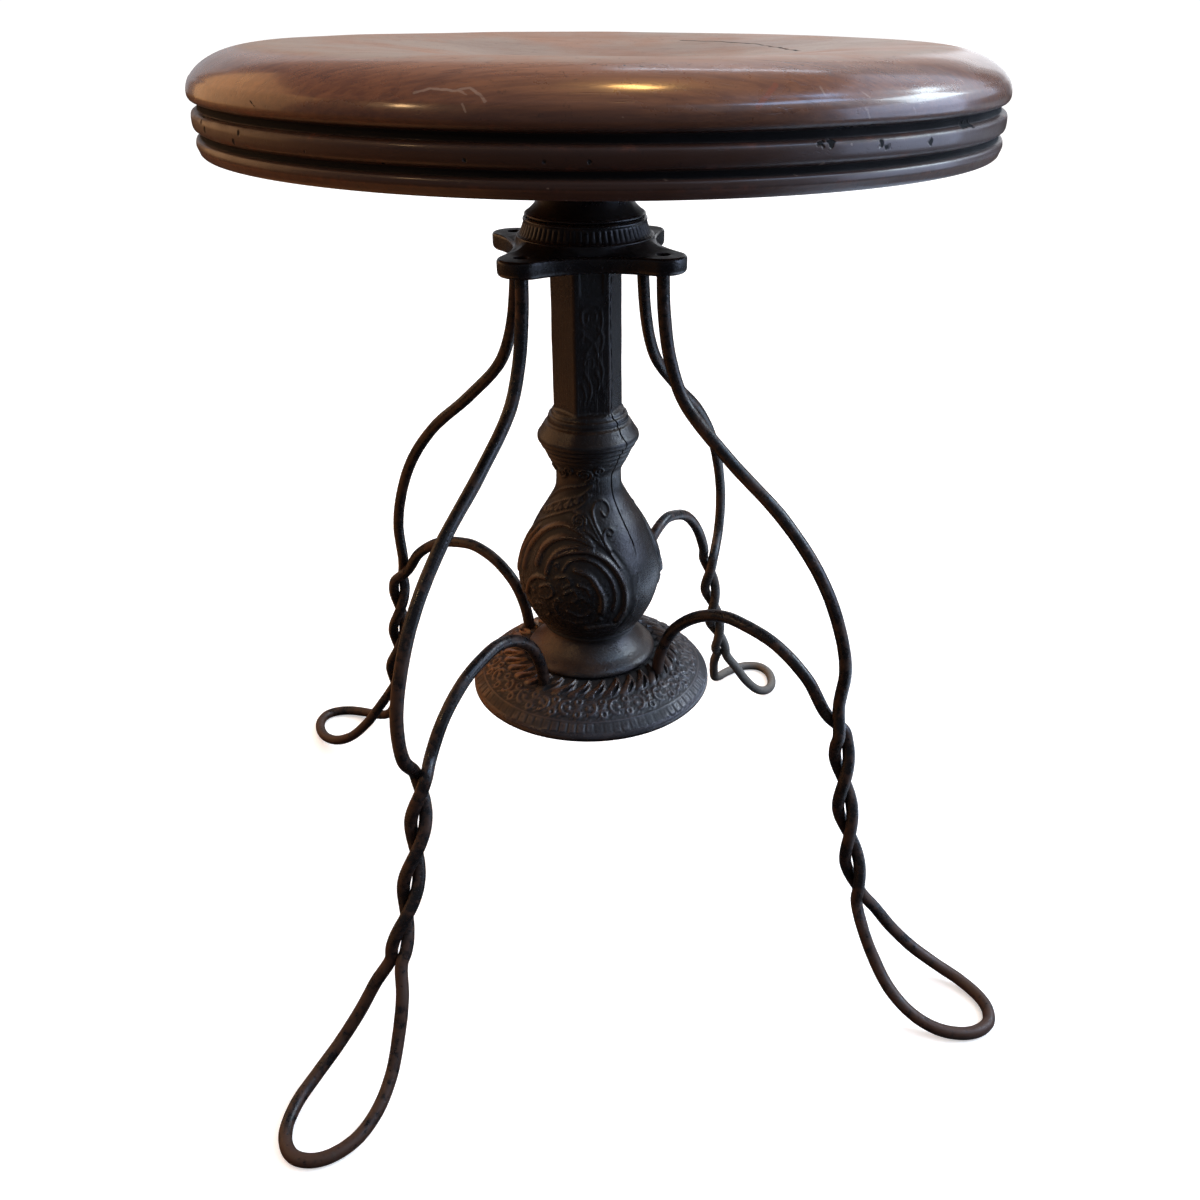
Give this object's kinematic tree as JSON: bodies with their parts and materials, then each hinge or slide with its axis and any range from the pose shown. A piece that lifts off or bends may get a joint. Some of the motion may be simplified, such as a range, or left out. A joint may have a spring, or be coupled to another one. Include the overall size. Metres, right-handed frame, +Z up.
{
  "type": "piano stool",
  "caption": "Revolving piano stool with a dished round wooden seat on a screw spindle, an ornamented column between iron castings, and legs of bent and twisted steel rod.",
  "frame": {"origin": "on the stool's axis at floor level", "axes": "+Z up; the legs leave the cap along -Y, +X, +Y and -X, and their feet, bent by hand, stand up to 4 degrees to one side; the seat is at its lowest"},
  "size_m": [0.4993, 0.4985, 0.4627],
  "materials": {
    "seat_wood": "worn varnish",
    "column_wood": "ebonised, with pressed relief",
    "casting": "black japan",
    "rod": "worn dark varnish",
    "bright_steel": "oiled"
  },
  "bodies": {
    "base": {"leg_front": "rod", "leg_nut_front": "rod", "leg_right": "rod", "leg_nut_right": "rod", "leg_back": "rod", "leg_nut_back": "rod", "leg_left": "rod", "leg_nut_left": "rod", "base_flange": "casting", "tie_screw": "bright_steel", "tie_washer": "bright_steel", "column": "column_wood", "cap": "casting", "spindle_nut": "bright_steel"},
    "washer": {"wear_washer": "bright_steel"},
    "seat": {"spindle": "bright_steel", "spindle_pin": "bright_steel", "seat_plate": "casting", "seat_plate_screw_1": "bright_steel", "seat_plate_screw_2": "bright_steel", "seat_plate_screw_3": "bright_steel", "seat_plate_screw_4": "bright_steel", "seat": "seat_wood"}
  },
  "joints": [
    {"name": "seat_turn", "type": "hinge", "parent": "base", "child": "washer", "pos_m": [0, 0, 0.384], "axis": [0, 0, 1], "range_deg": [0, 5310]},
    {"name": "seat_lift", "type": "slide", "parent": "washer", "child": "seat", "axis": [0, 0, 1], "range_m": [0, 0.0937]}
  ],
  "couplings": [
    {"joint": "seat_lift", "follows": "seat_turn", "m_per_rad": 0.0010106}
  ]
}
